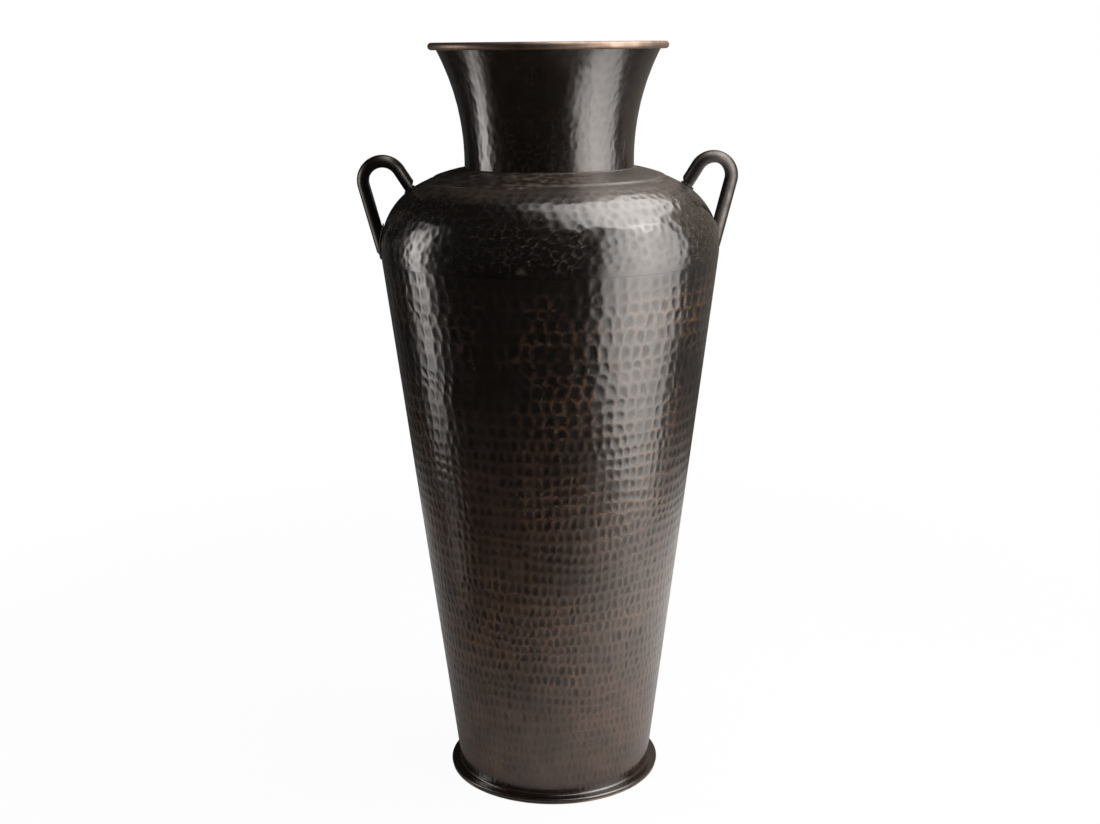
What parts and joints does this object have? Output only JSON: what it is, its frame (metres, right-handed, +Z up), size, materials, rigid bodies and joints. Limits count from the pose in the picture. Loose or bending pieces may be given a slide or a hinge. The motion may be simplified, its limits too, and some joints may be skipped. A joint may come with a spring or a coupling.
{
  "type": "urn vase",
  "caption": "Tall tapered floor urn of hammered dark copper with a domed shoulder, flared neck, rolled rim, ledged foot and a pair of small bar handles; holds dried stems.",
  "frame": {"origin": "middle of the flat underside of the base disc, on the vase's axis", "axes": "+Z up along the vase's axis, +X towards the right handle, -Y towards the front"},
  "size_m": [0.3576, 0.318, 0.711],
  "materials": {
    "hammered_patina": "hammered copper sheet with a dark bronze patina, worn back to copper on the ridges, lacquered",
    "smooth_patina": "smooth spun copper sheet with a dark bronze patina, lacquered",
    "rubbed_copper": "copper rubbed bright through the patina, satin",
    "blackened_bar": "blackened half-round bar, satin",
    "braze_metal": "dark brazing metal, satin",
    "core_wire": "plain drawn steel wire, hidden"
  },
  "bodies": {
    "root": {"base_disc": "rubbed_copper", "tapered_body": "hammered_patina", "shoulder_dome": "hammered_patina", "neck_collar": "smooth_patina", "flared_neck": "smooth_patina", "rim_wire": "core_wire", "right_handle": "blackened_bar", "left_handle": "blackened_bar", "right_handle_braze": "braze_metal", "left_handle_braze": "braze_metal"}
  },
  "joints": []
}
